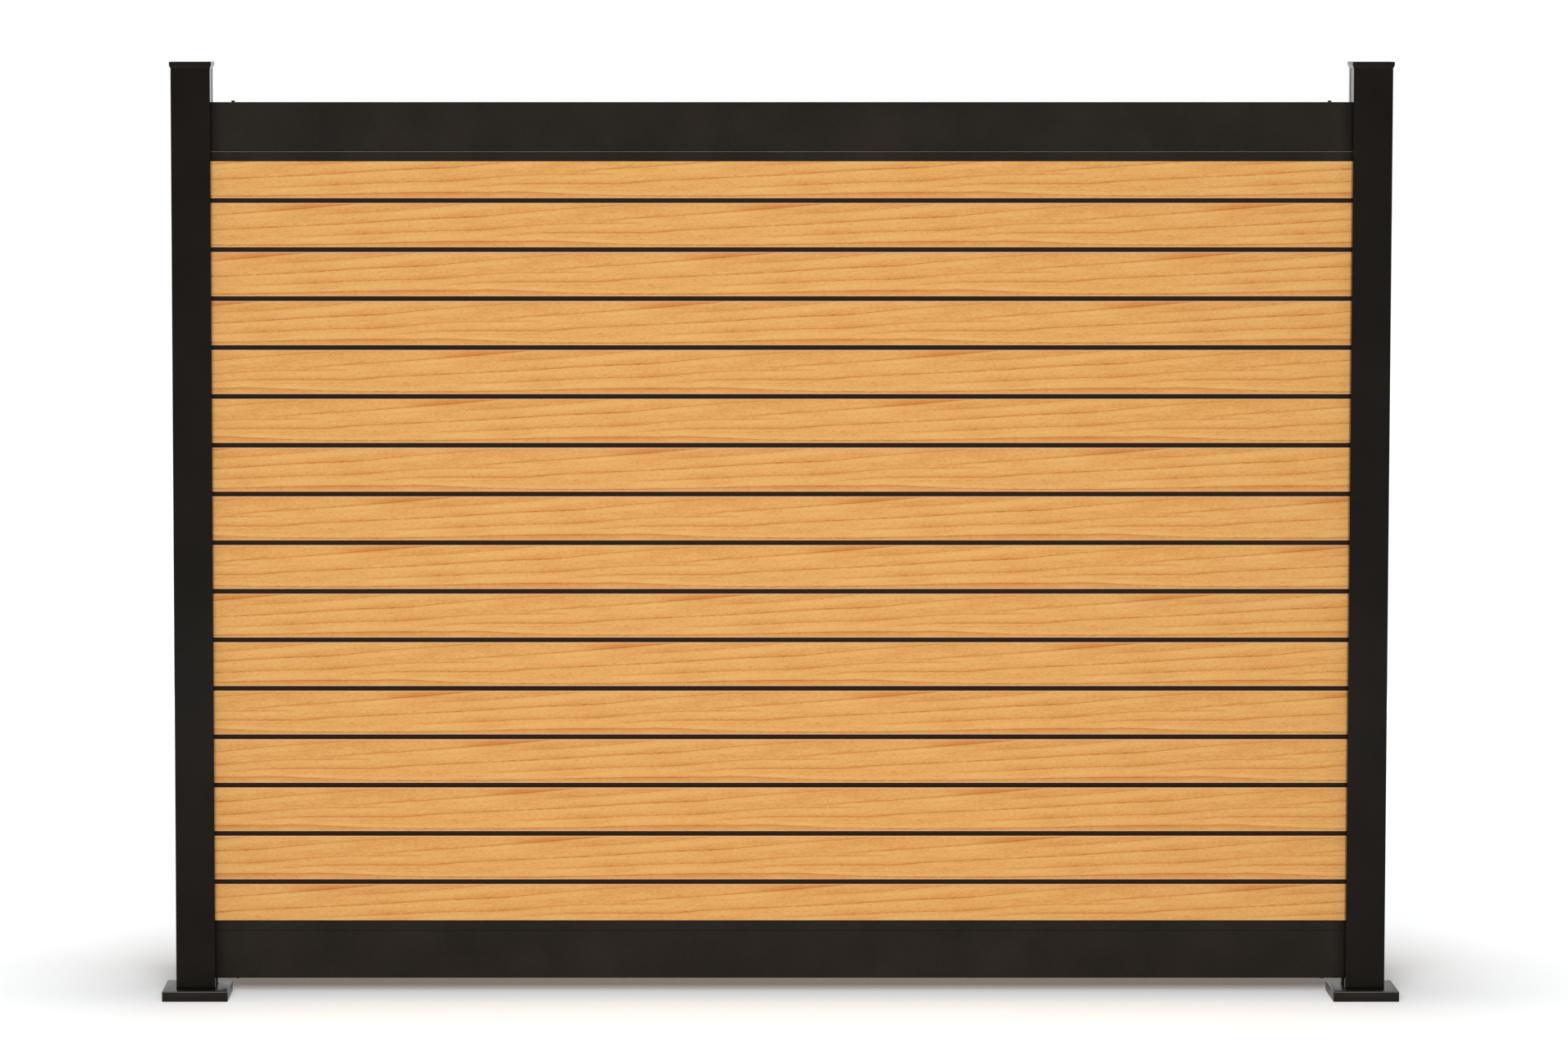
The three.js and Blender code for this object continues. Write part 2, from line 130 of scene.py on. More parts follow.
def colour_stops(ramp, stops):
    """Sets the stops of a colour ramp node, as pairs of a position and a linear colour."""
    elements = ramp.color_ramp.elements
    for i, (position, colour) in enumerate(stops):
        element = elements[i] if i < 2 else elements.new(position)
        element.position = position
        element.color = colour


print("slat orange in linear light:", [round(c, 3) for c in linear("#e1a661")])

# %% [markdown]
# ## Softening every edge
#
# The solids come as loose triangles with razor-sharp edges. No extruded or folded metal is that sharp: a
# powder coat alone rounds an edge by a third of a millimetre, and that rounding is what catches the light
# in a picture. Modifiers leave the solids themselves as they are. The first joins the triangles and drops
# their stored normals, the second merges faces that lie in one plane, and the third rounds each edge
# sharper than 20 degrees.

# %% Edges
EDGE_ANGLE = math.radians(20)
EDGE_STEPS = 2
FLAT_ANGLE = math.radians(0.5)
JOIN_DISTANCE = 0.01 * MM

joined = bpy.data.node_groups.new("joined_faces", "GeometryNodeTree")
joined.interface.new_socket("Geometry", in_out="INPUT", socket_type="NodeSocketGeometry")
joined.interface.new_socket("Geometry", in_out="OUTPUT", socket_type="NodeSocketGeometry")
loose = add(joined, "NodeGroupInput")
merged = add(joined, "GeometryNodeMergeByDistance", {"Geometry": loose, "Distance": JOIN_DISTANCE})
smooth = add(
    joined,
    "GeometryNodeSetMeshNormal",
    {"Mesh": merged, "Remove Custom": True, "Edge Sharpness": False, "Face Sharpness": False},
    mode="SHARPNESS",
)
add(joined, "NodeGroupOutput", {0: smooth})


def soften(piece, radius):
    """Rounds a piece's edges by a radius in millimetres."""
    piece.modifiers.new("joined_faces", "NODES").node_group = joined
    flat = piece.modifiers.new("flat_faces", "DECIMATE")
    flat.decimate_type = "DISSOLVE"
    flat.angle_limit = FLAT_ANGLE
    bevel = piece.modifiers.new("soft_edges", "BEVEL")
    bevel.width = radius * MM
    bevel.segments = EDGE_STEPS
    bevel.limit_method = "ANGLE"
    bevel.angle_limit = EDGE_ANGLE
    bevel.miter_outer = "MITER_SHARP"
    bevel.harden_normals = True


def dress(names, material, radius):
    """Gives solids a material and rounded edges."""
    for name in names:
        nodes[name].data.materials.clear()
        nodes[name].data.materials.append(material)
        soften(nodes[name], radius)
    print(f"{material.name} on {len(names)} solids, {len(material.node_tree.nodes)} nodes")


print(f"faces join within {JOIN_DISTANCE / MM} mm, each edge is rounded in {EDGE_STEPS} steps")

# %% [markdown]
# ## Wood-print aluminium: the slats
#
# The slats are aluminium extrusions, powder coated in a pale base and then wrapped in a printed film
# whose ink goes into the coat in an oven. To the eye that is satin wood with no pores to feel, and with
# one giveaway: the same printed board comes round again every 955 mm. Each slat was wrapped with the film
# at another place, so the neighbours don't match.
#
# A picture of wood would be the quick way. This print is drawn from what it shows instead: a few dark
# latewood lines that climb slowly from left to right, each with an orange band on one side and a sharp
# edge on the other, over fine dashes. A curve node holds each line: its strength, band and depth along
# the print.

# %% Where the print lies
# In millimetres: the print's length, its start on the second slat, and each slat's shift from there.
PRINT_REPEAT = 955
PRINT_START = -1150
PRINT_OFFSETS = (-57, 0, -102, -206, 352, 290, -255, 198, 149, -152, -305, 240, 395, -506, -454, 44)

stack_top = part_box("slat_01")[1].z / MM
slat_pitch = stack_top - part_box("slat_02")[1].z / MM
slat_height = stack_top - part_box("slat_01")[0].z / MM
joint_height = slat_pitch - slat_height
print(f"slats {slat_height:.1f} mm high, {slat_pitch:.1f} mm apart, {len(PRINT_OFFSETS)} film offsets")

# %% [markdown]
# The lines are given one by one. Each point is a place along the print and a depth below the slat's top
# edge, both in millimetres, then the line's strength and its band's, from 0 to 1. Where a line leaves the
# slat, its strength is 0, and a line that crosses the film's joint has the same depth on both sides of it.
# Each band lies above its line, except the lowest line's.

# %% The print's latewood lines
LATEWOOD = {
    "upper": [
        (0, 25, 0.9, 0.25), (114, 16, 1, 0.8), (191, 10, 1, 1), (267, 3, 0.9, 1),
        (330, -3, 0, 0.3), (540, -3, 0, 0), (700, 40, 0, 0), (781, 36, 0.25, 0.05),
        (858, 31, 0.8, 0.15), (955, 25, 0.9, 0.25),
    ],
    "faint": [
        (0, 30, 0, 0), (150, 27, 0, 0), (205, 24, 0.25, 0.1), (381, 14, 0.5, 0.4), (491, 3.5, 0.45, 0.4),
        (560, -3, 0, 0.1), (700, -3, 0, 0), (955, 30, 0, 0),
    ],
    "main": [
        (0, 55, 0.85, 0.1), (114, 50, 0.9, 0.15), (191, 46, 1, 0.25), (276, 42, 1, 0.4),
        (372, 36, 0.9, 0.45), (438, 32, 1, 0.5), (524, 29, 0.95, 0.4), (610, 21, 0.7, 0.2),
        (715, 12, 0.5, 0.15), (810, 5, 0.3, 0.1), (880, -2, 0, 0), (955, -2, 0, 0),
    ],
    "main_tail": [
        (0, 70, 0, 0), (540, 70, 0, 0), (591, 67, 0.4, 0), (648, 62, 0.7, 0.05), (724, 61, 0.8, 0.1),
        (858, 61, 0.85, 0.1), (955, 55, 0.85, 0.1),
    ],
    "middle": [
        (0, 75, 0, 0), (110, 73, 0, 0), (171, 69, 0.4, 0), (286, 64, 0.6, 0.05), (381, 60, 0.6, 0.1),
        (457, 57, 0.75, 0.15), (524, 56, 0.85, 0.2), (610, 49, 0.6, 0.1), (686, 44, 0.55, 0.1),
        (810, 42, 0.7, 0.15), (848, 42, 0.5, 0.1), (890, 41, 0, 0), (955, 40, 0, 0),
    ],
    "streak": [
        (0, 72, 0, 0), (560, 72, 0, 0), (620, 71, 0.3, 0), (700, 69, 0.4, 0.05), (780, 69, 0.4, 0.05),
        (860, 68, 0.25, 0), (900, 67, 0, 0), (955, 67, 0, 0),
    ],
    "low_streak": [
        (0, 78, 0, 0), (580, 77, 0, 0), (640, 76, 0.3, 0), (730, 73, 0.35, 0.05), (820, 74, 0.3, 0.05),
        (900, 76, 0.15, 0), (955, 78, 0, 0),
    ],
    "lowest": [
        (0, 86, 0.9, 0.2), (143, 86, 0.8, 0.15), (257, 84, 0.7, 0.2), (381, 81, 0.9, 0.6),
        (496, 79, 0.9, 0.9), (591, 79, 0.8, 0.9), (667, 78, 0.9, 0.9), (743, 81, 0.7, 0.7),
        (829, 84.5, 0.7, 0.3), (955, 86, 0.9, 0.2),
    ],
}
BAND_BELOW = ("lowest",)
print(f"{len(LATEWOOD)} latewood lines, {sum(map(len, LATEWOOD.values()))} points")

# %% [markdown]
# A line's cross-section is darkest at the line, gone within 2 mm on its sharp side, and a touch lighter
# just past that, where the next year's pale wood begins. The band on its other side fades over some 16 mm.

# %% Cross-section of a line
SECTION_FROM, SECTION_TO = -30, 20
LINE_SECTION = [
    (-30, 0), (-9, 0.02), (-3, 0.1), (-1.2, 0.6), (0, 1), (0.9, 0.45), (1.6, 0), (4, -0.2), (20, 0),
]
BAND_SECTION = [(-30, 0), (-16, 0.12), (-8, 0.55), (-2, 0.95), (0, 1), (1.5, 0.2), (3, 0), (20, 0)]


def draw_curves(node, curves):
    """Lays a curve node's curves through lists of points, each from one end of its range to the other."""
    node.mapping.use_clip = False
    for curve, points in zip(node.mapping.curves, curves):
        curve.points[0].location = points[0]
        curve.points[1].location = points[-1]
        for point in points[1:-1]:
            curve.points.new(*point)
        for point in curve.points:
            point.handle_type = "AUTO_CLAMPED"
    node.mapping.update()


def latewood_line(tree, along, depth, points, side, others):
    """Adds one line to others, a vector of how dark the lines are and how orange their bands are."""
    course = add(tree, "ShaderNodeRGBCurve", {"Color": along})
    strengths = [[(p[0] / PRINT_REPEAT, p[i]) for p in points] for i in (2, 3)]
    depths = [(p[0] / PRINT_REPEAT, p[1] / slat_pitch) for p in points]
    draw_curves(course, [*strengths, depths])
    line = add(tree, "ShaderNodeSeparateColor", {"Color": course})
    past = add(
        tree,
        "ShaderNodeMath",
        {0: line.outputs["Blue"], 1: -slat_pitch, 2: depth},
        operation="MULTIPLY_ADD",
    )
    place = add(
        tree,
        "ShaderNodeMapRange",
        {"Value": past, "From Min": side * SECTION_FROM, "From Max": side * SECTION_TO},
    )
    section = add(tree, "ShaderNodeRGBCurve", {"Color": place})
    span = SECTION_TO - SECTION_FROM
    shapes = [[((x - SECTION_FROM) / span, y) for x, y in shape] for shape in (LINE_SECTION, BAND_SECTION)]
    draw_curves(section, [*shapes, [(0, 0), (1, 0)]])
    return add(tree, "ShaderNodeVectorMath", {0: course, 1: section, 2: others}, operation="MULTIPLY_ADD")


print(f"a line's section has {len(LINE_SECTION)} points, its band's {len(BAND_SECTION)}")

# %% [markdown]
# Next, where a point lies on the film. The slat's number comes from its height, a ramp with one step for
# each slat gives the film's offset, and the fraction of what is left runs from 0 to 1 along each repeat.

# %% A point's place on the film
first_joint = stack_top + joint_height / 2
print(f"the slats count down from {first_joint:.1f} mm")


def film_place(tree, axes):
    """A point's place along the film, from 0 to 1, and its depth below its slat's top edge in mm."""
    below = add(tree, "ShaderNodeMath", {0: first_joint, 1: axes.outputs["Z"]}, operation="SUBTRACT")
    within = add(tree, "ShaderNodeMath", {0: below, 1: slat_pitch}, operation="FLOORED_MODULO")
    depth = add(tree, "ShaderNodeMath", {0: within, 1: joint_height / 2}, operation="SUBTRACT")
    share = add(tree, "ShaderNodeMath", {0: below, 1: slat_pitch * len(SLATS)}, operation="DIVIDE")
    offset = add(tree, "ShaderNodeValToRGB", {"Fac": share})
    offset.color_ramp.interpolation = "CONSTANT"
    steps = [(i / len(SLATS), (film / PRINT_REPEAT) % 1) for i, film in enumerate(PRINT_OFFSETS)]
    colour_stops(offset, [(position, [grey, grey, grey, 1]) for position, grey in steps])
    start = add(
        tree,
        "ShaderNodeMath",
        {0: axes.outputs["X"], 1: 1 / PRINT_REPEAT, 2: -PRINT_START / PRINT_REPEAT},
        operation="MULTIPLY_ADD",
    )
    shifted = add(tree, "ShaderNodeMath", {0: start, 1: offset}, operation="SUBTRACT")
    return add(tree, "ShaderNodeMath", {0: shifted}, operation="FRACT"), depth


# %% [markdown]
# Noise gives the rest of the grain. The print comes round again, so its noise has to as well. Bending the
# print into a ring does that: the noise is read round a circle, and its end meets its start. Fine grain
# climbs as the lines do, while the broad clouds stay level.

# %% Noise that comes round again
GRAIN_CLIMB = 0.075
print(f"a print {PRINT_REPEAT} mm long makes a ring {PRINT_REPEAT / math.tau:.0f} mm in radius")


def ring_noise(tree, ring, length, height, detail):
    """Noise round the print's ring, stretched to blots of a length and a height in millimetres."""
    radius = PRINT_REPEAT / length / math.tau
    stretch = (radius, radius, 1 / height)
    stretched = add(tree, "ShaderNodeVectorMath", {0: ring, 1: stretch}, operation="MULTIPLY")
    return add(tree, "ShaderNodeTexNoise", {"Vector": stretched, "Scale": 1.0, "Detail": detail})


def print_rings(tree, along, depth, axes):
    """The print's ring, with its grain level and with its grain climbing as the lines do."""
    angle = add(tree, "ShaderNodeMath", {0: along, 1: math.tau}, operation="MULTIPLY")
    sine = add(tree, "ShaderNodeMath", {0: angle}, operation="SINE")
    cosine = add(tree, "ShaderNodeMath", {0: angle}, operation="COSINE")
    climb = GRAIN_CLIMB * PRINT_REPEAT
    slope = add(tree, "ShaderNodeMath", {0: along, 1: climb, 2: depth}, operation="MULTIPLY_ADD")
    around = add(tree, "ShaderNodeMath", {0: slope, 1: axes.outputs["Y"]}, operation="ADD")
    level = add(tree, "ShaderNodeCombineXYZ", {"X": cosine, "Y": sine, "Z": depth})
    climbing = add(tree, "ShaderNodeCombineXYZ", {"X": cosine, "Y": sine, "Z": around})
    return level, climbing


# %% [markdown]
# The tone is one number, from 0 for the pale yellow between the lines to 1 for the brown of the darkest
# ones. It starts at a level, the lines add to it, and five sizes of noise push it up and down: flecks,
# dashes, thin streaks, waves and clouds. The dashes also break up the lines, and short dark pores come on
# top. The real flecks and pores are down to 0.5 mm high, too fine to show from 11 m, so they are drawn
# more than twice as coarse.

# %% The print's tone
TONE_LEVEL = 0.4
LINE_DEPTH = 0.41
LINE_BREAKS = {"From Min": 0.3, "From Max": 0.7, "To Min": 0.6, "To Max": 1.2}
# Each layer's length and height in millimetres, its detail and its strength.
GRAIN_LAYERS = {
    "flecks": (8, 1.2, 1, 0.62),
    "dashes": (22, 2.2, 2, 0.22),
    "streaks": (60, 1.4, 1, 0.2),
    "waves": (110, 7, 2, 0.22),
    "clouds": (160, 28, 1, 0.4),
}
PORE_LENGTH, PORE_HEIGHT = 6, 1.2
PORE_DARKNESS = {"From Min": 0.62, "From Max": 0.78, "To Max": 0.14}


def wood_tone(tree, lines, level, climbing):
    """The print's tone, from 0 for pale to 1 for dark."""
    noises = {}
    for name, (length, height, detail, _) in GRAIN_LAYERS.items():
        noises[name] = ring_noise(tree, level if name == "clouds" else climbing, length, height, detail)
    breaks = add(tree, "ShaderNodeMapRange", {"Value": noises["dashes"], **LINE_BREAKS})
    drawn = add(tree, "ShaderNodeMath", {0: lines, 1: breaks}, operation="MULTIPLY")
    tone = add(tree, "ShaderNodeMath", {0: drawn, 1: LINE_DEPTH, 2: TONE_LEVEL}, operation="MULTIPLY_ADD")
    for name, (_, _, _, strength) in GRAIN_LAYERS.items():
        centred = add(tree, "ShaderNodeMath", {0: noises[name], 1: 0.5}, operation="SUBTRACT")
        tone = add(tree, "ShaderNodeMath", {0: centred, 1: strength, 2: tone}, operation="MULTIPLY_ADD")
    pores = ring_noise(tree, climbing, PORE_LENGTH, PORE_HEIGHT, detail=0)
    dark = add(tree, "ShaderNodeMapRange", {"Value": pores, **PORE_DARKNESS})
    return add(tree, "ShaderNodeMath", {0: tone, 1: dark}, operation="ADD")


print(f"{len(GRAIN_LAYERS)} layers of grain, from {GRAIN_LAYERS['flecks'][0]} mm long")

# %% [markdown]
# A colour ramp turns the tone into the wood's own colours, and the bands then turn it orange, unevenly.
# The rounded edges get a painted highlight, a pale line along both, and past it a painted shade of the
# joint, brown. Each is placed by a mask that rises towards the edge.

# %% The print's colour
TONES = [
    (0, "#efc079"), (0.35, "#e6ae66"), (0.5, "#dfa059"),
    (0.7, "#d3904a"), (0.85, "#c4803e"), (1, "#b07032"),
]
BAND_COLOUR = "#c97633"
BAND_DEPTH = 0.45
BAND_SPREAD = 0.7
BAND_PATCH_LENGTH, BAND_PATCH_HEIGHT = 120, 18
# Painted highlight along the rounded edges: its colour, its band in mm from the edge, its strength.
PAINTED_EDGE_HIGHLIGHT = "#eecbb0"
HIGHLIGHT_BAND = (2.0, 0.9)
HIGHLIGHT_STRENGTH = 0.8
# Painted shade of the joint on the slats' edges: its colour and its band in mm from the edge.
JOINT_SHADE = "#5a3d20"
SHADE_BAND = (0.7, 0.3)


def edge_mask(tree, depth, band, strength):
    """Rises to a strength along a slat's top and bottom edges, over a band of distances from the edge."""
    half = slat_height / 2
    off_centre = add(tree, "ShaderNodeMath", {0: depth, 1: half}, operation="SUBTRACT")
    distance = add(tree, "ShaderNodeMath", {0: off_centre}, operation="ABSOLUTE")
    start, end = band
    return add(
        tree,
        "ShaderNodeMapRange",
        {"Value": distance, "From Min": half - start, "From Max": half - end, "To Max": strength},
    )


def orange_bands(tree, bands, level):
    """How orange a point is, from the bands of the lines and broad uneven patches."""
    patches = ring_noise(tree, level, BAND_PATCH_LENGTH, BAND_PATCH_HEIGHT, detail=2)
    spread = {0: patches, 1: BAND_SPREAD, 2: -BAND_SPREAD / 2}
    uneven = add(tree, "ShaderNodeMath", spread, operation="MULTIPLY_ADD")
    warm = add(tree, "ShaderNodeMath", {0: bands, 1: BAND_DEPTH, 2: uneven}, operation="MULTIPLY_ADD")
    return add(tree, "ShaderNodeMath", {0: warm, 1: 0}, operation="MAXIMUM", use_clamp=True)


def print_colour(tree, axes):
    """The film's colour: wood tone, orange bands, a painted highlight along the edges and painted shade in
    the joint.
    """
    along, depth = film_place(tree, axes)
    level, climbing = print_rings(tree, along, depth, axes)
    lines = (0.0, 0.0, 0.0)
    for name, points in LATEWOOD.items():
        side = -1 if name in BAND_BELOW else 1
        lines = latewood_line(tree, along, depth, points, side, lines)
    sums = add(tree, "ShaderNodeSeparateXYZ", {0: lines})
    colour = add(tree, "ShaderNodeValToRGB", {"Fac": wood_tone(tree, sums.outputs["X"], level, climbing)})
    colour_stops(colour, [(position, linear(tone)) for position, tone in TONES])
    layers = (
        (orange_bands(tree, sums.outputs["Y"], level), BAND_COLOUR),
        (edge_mask(tree, depth, HIGHLIGHT_BAND, HIGHLIGHT_STRENGTH), PAINTED_EDGE_HIGHLIGHT),
        (edge_mask(tree, depth, SHADE_BAND, 1), JOINT_SHADE),
    )
    for share, over in layers:
        inputs = {"Factor": share, "A": colour, "B": linear(over)}
        colour = add(tree, "ShaderNodeMix", inputs, data_type="RGBA")
    return colour


print(f"{len(TONES)} wood tones, pale edges {HIGHLIGHT_BAND[0]} mm wide")

# %% [markdown]
# Oven ink keeps the powder coat's own satin surface, which the bump and the roughness give. The coat's
# real grain is 0.3 mm, too fine to show, so it is drawn at 1.2 mm.

# %% Wood-print aluminium
SATIN_GRAIN = 1.2
SATIN_BUMP = 0.02
SATIN_ROUGHNESS = (0.4, 0.52)


def wood_print_aluminium():
    """Satin wood-look film on powder-coated aluminium."""
    material, tree = material_tree("wood_print_aluminium")
    place = millimetres(tree)
    colour = print_colour(tree, add(tree, "ShaderNodeSeparateXYZ", {0: place}))
    grain = add(tree, "ShaderNodeTexNoise", {"Vector": place, "Scale": 1 / SATIN_GRAIN, "Detail": 1.0})
    bump = add(tree, "ShaderNodeBump", {"Height": grain, "Strength": 0.3, "Distance": SATIN_BUMP * MM})
    sheen = {"Value": grain, "To Min": SATIN_ROUGHNESS[0], "To Max": SATIN_ROUGHNESS[1]}
    roughness = add(tree, "ShaderNodeMapRange", sheen)
    shader = add(
        tree,
        "ShaderNodeBsdfPrincipled",
        {
            "Base Color": colour,
            "Roughness": roughness,
            "Normal": bump,
            "IOR": 1.5,
            "Specular IOR Level": 0.25,
        },
    )
    add(tree, "ShaderNodeOutputMaterial", {"Surface": shader})
    return material


dress(SLATS, wood_print_aluminium(), radius=0.25)

# %% [markdown]
# ## Black powder coat: posts, rails, channels and foot covers
#
# Powder coat is a polyester dust, charged, blown on and baked. This one is a fine-texture black, the
# usual one for fences: dead matte from the front, because the tiny bumps scatter what it reflects, yet
# bright at a grazing angle, as the posts' inner faces show. So its reflection is weak (a low specular
# level) but not blurred much.
#
# What sets the black pieces apart is their edges, and these are painted light and shade. The sharp edges
# of posts and covers are painted a shade greyer, a painted highlight. The rails' edges and joints with
# their channels are painted as thin dark lines, a painted shade, and inner corners are painted darker,
# where less light reaches them. The top channel's rounded lip, and the covers' upper edges more faintly,
# get a painted highlight, a fine pale line where the light from above catches them. Three masks find
# these places: one from how far a rounded normal turns away from the real one, one from how much of the
# space round a point is open, and one from how far the surface looks up.

# %% Edges and corners of the black coat
EDGE_REACH = 0.8
EDGE_LIKENESS = {"From Min": 0.98, "From Max": 0.8}
CORNER_REACH = 25
CORNER_SHADE = 0.4
CORNER_OPENNESS = {"From Min": 0.5, "From Max": 1.0}
MASK_SAMPLES = 4
UPPER_EDGE = [(0.1, 0), (0.4, 1), (0.85, 1), (0.98, 0)]


def sharp_edges(tree):
    """1 on outer and inner edges and 0 on flat faces."""
    rounded = add(tree, "ShaderNodeBevel", {"Radius": EDGE_REACH * MM}, samples=MASK_SAMPLES)
    normal = add(tree, "ShaderNodeNewGeometry").outputs["Normal"]
    likeness = add(tree, "ShaderNodeVectorMath", {0: rounded, 1: normal}, operation="DOT_PRODUCT")
    return add(tree, "ShaderNodeMapRange", {"Value": likeness.outputs["Value"], **EDGE_LIKENESS})


def corner_shade(tree):
    """1 on open faces, down to CORNER_SHADE in inner corners."""
    reach = {"Distance": CORNER_REACH * MM}
    openness = add(tree, "ShaderNodeAmbientOcclusion", reach, samples=MASK_SAMPLES).outputs["AO"]
    shade = {"Value": openness, **CORNER_OPENNESS, "To Min": CORNER_SHADE}
    return add(tree, "ShaderNodeMapRange", shade)


def upper_edge(tree, strength):
    """Rises to a strength on the rounded edges that look up and outwards."""
    normal = add(tree, "ShaderNodeNewGeometry").outputs["Normal"]
    upward = add(tree, "ShaderNodeSeparateXYZ", {0: normal}).outputs["Z"]
    edge = add(tree, "ShaderNodeValToRGB", {"Fac": upward})
    colour_stops(edge, [(position, [grey * strength] * 3 + [1]) for position, grey in UPPER_EDGE])
    return edge


print(f"edges found within {EDGE_REACH} mm, corners within {CORNER_REACH} mm")

# %% [markdown]
# The coat itself is a warm black, a little uneven in clouds some 140 mm across and in its grain. The real
# grain is 0.3 mm, too fine to show, so it is drawn at 1.6 mm. Each kind of piece gets its own colour and
# sheen of the same coat.

# %% Black powder coat
COAT_GRAIN = 1.6
COAT_CLOUD = 140
COAT_BUMP = 0.015
COAT_SPREAD = {"From Min": 0.7, "From Max": 1.3, "To Min": 0.7, "To Max": 1.3}
# The colour of the painted highlight on upper edges.
LIT_EDGE_COLOUR = "#d8d3cb"


def coat_colour(tree, grain, cloud, colour, painted_edge_colour, lit_edge):
    """An uneven colour with painted shade in its corners, painted light and shade on its edges and a painted
    highlight on its upper edge.
    """
    patch = add(tree, "ShaderNodeMath", {0: grain, 1: cloud}, operation="ADD")
    uneven = add(tree, "ShaderNodeMapRange", {"Value": patch, **COAT_SPREAD})
    shade = add(tree, "ShaderNodeMath", {0: uneven, 1: corner_shade(tree)}, operation="MULTIPLY")
    coat = add(tree, "ShaderNodeVectorMath", {0: linear(colour)[:3], "Scale": shade}, operation="SCALE")
    layers = ((sharp_edges(tree), painted_edge_colour), (upper_edge(tree, lit_edge), LIT_EDGE_COLOUR))
    for share, over in layers:
        inputs = {"Factor": share, "A": coat, "B": linear(over)}
        coat = add(tree, "ShaderNodeMix", inputs, data_type="RGBA")
    return coat


def black_powder_coat(name, colour, painted_edge_colour, specular, roughness, lit_edge=0):
    """Black powder coat on one kind of piece. Roughness is its lowest and highest value."""
    material, tree = material_tree(name)
    place = millimetres(tree)
    grain = add(tree, "ShaderNodeTexNoise", {"Vector": place, "Scale": 1 / COAT_GRAIN, "Detail": 2.0})
    cloud = add(tree, "ShaderNodeTexNoise", {"Vector": place, "Scale": 1 / COAT_CLOUD, "Detail": 3.0})
    bump = add(tree, "ShaderNodeBump", {"Height": grain, "Strength": 0.5, "Distance": COAT_BUMP * MM})
    sheen = {"Value": grain, "To Min": roughness[0], "To Max": roughness[1]}
    inputs = {
        "Base Color": coat_colour(tree, grain, cloud, colour, painted_edge_colour, lit_edge),
        "Roughness": add(tree, "ShaderNodeMapRange", sheen),
        "Normal": bump,
        "IOR": 1.5,
        "Specular IOR Level": specular,
    }
    shader = add(tree, "ShaderNodeBsdfPrincipled", inputs)
    add(tree, "ShaderNodeOutputMaterial", {"Surface": shader})
    return material


# Posts: their edge colour is a painted highlight, a shade greyer than the coat.
post_coat = black_powder_coat(
    "black_powder_coat_post",
    colour="#15100b",
    painted_edge_colour="#1b1713",
    specular=0.08,
    roughness=(0.08, 0.18),
)
# Rails and channels: their edge colour is a painted shade, darker than the coat; lit_edge paints the top
# channel's lip.
RAIL_FINISH = {"colour": "#25201b", "painted_edge_colour": "#17120e", "specular": 0.07, "roughness": (0.25, 0.4)}
rail_coat = black_powder_coat("black_powder_coat_rail", **RAIL_FINISH)
channel_coat = black_powder_coat("black_powder_coat_channel", **RAIL_FINISH, lit_edge=0.5)
# Covers: their greyer edge colour and lit_edge are painted highlights.
cover_coat = black_powder_coat(
    "black_powder_coat_cover",
    colour="#29241f",
    painted_edge_colour="#4a4540",
    specular=0.12,
    roughness=(0.25, 0.35),
    lit_edge=0.25,
)
dress(["left_post", "right_post"], post_coat, radius=0.5)
dress(["top_rail", "bottom_rail", "bottom_slat_channel"], rail_coat, radius=0.4)
dress(["top_slat_channel"], channel_coat, radius=1.0)
dress(["left_foot_cover", "right_foot_cover"], cover_coat, radius=0.8)

# %% [markdown]
# ## Black joiner aluminium: the joint strips
#
# The joint strips are the same coat in a thinner layer over a plain extrusion, set 5 mm back in the shade
# of the slats. Extruding leaves faint die lines along them, which noise stretched along the strip gives.
# Real ones are 0.2 mm wide, too fine to show, so they are drawn at 0.8 mm.

# %% Black joiner aluminium
DIE_LINE_LENGTH, DIE_LINE_WIDTH = 400, 0.8
DIE_LINE_DEPTH = 0.03
JOINER_DARK, JOINER_LIGHT = "#23180d", "#342618"
JOINER_ROUGHNESS = (0.45, 0.65)


def black_joiner_aluminium():
    """Black-coated extrusion with faint die lines."""
    material, tree = material_tree("black_joiner_aluminium")
    stretch = (1 / DIE_LINE_LENGTH, 1 / DIE_LINE_WIDTH, 1 / DIE_LINE_WIDTH)
    stretched = add(tree, "ShaderNodeVectorMath", {0: millimetres(tree), 1: stretch}, operation="MULTIPLY")
    lines = add(tree, "ShaderNodeTexNoise", {"Vector": stretched, "Scale": 1.0, "Detail": 2.0})
    colour = add(
        tree,
        "ShaderNodeMix",
        {"Factor": lines, "A": linear(JOINER_DARK), "B": linear(JOINER_LIGHT)},
        data_type="RGBA",
    )
    sheen = {"Value": lines, "To Min": JOINER_ROUGHNESS[0], "To Max": JOINER_ROUGHNESS[1]}
    roughness = add(tree, "ShaderNodeMapRange", sheen)
    bump = add(tree, "ShaderNodeBump", {"Height": lines, "Strength": 0.3, "Distance": DIE_LINE_DEPTH * MM})
    shader = add(
        tree,
        "ShaderNodeBsdfPrincipled",
        {
            "Base Color": colour,
            "Roughness": roughness,
            "Normal": bump,
            "IOR": 1.5,
            "Specular IOR Level": 0.08,
        },
    )
    add(tree, "ShaderNodeOutputMaterial", {"Surface": shader})
    return material


dress(JOINERS, black_joiner_aluminium(), radius=0.2)

# %% [markdown]
# ## Black moulded plastic: the caps
#
# The caps are moulded in a weatherproof ABS-like plastic. Its mould was etched, which leaves a finer and
# more even grain than powder coat, with a slightly softer sheen. The real grain is 0.2 mm, too fine to
# show, so it is drawn at 0.9 mm.

# %% Black moulded plastic
MOULD_GRAIN = 0.9
MOULD_BUMP = 0.01
MOULD_CLOUD = 30
PLASTIC_DARK, PLASTIC_LIGHT = "#14100d", "#201b17"
PLASTIC_ROUGHNESS = (0.12, 0.25)


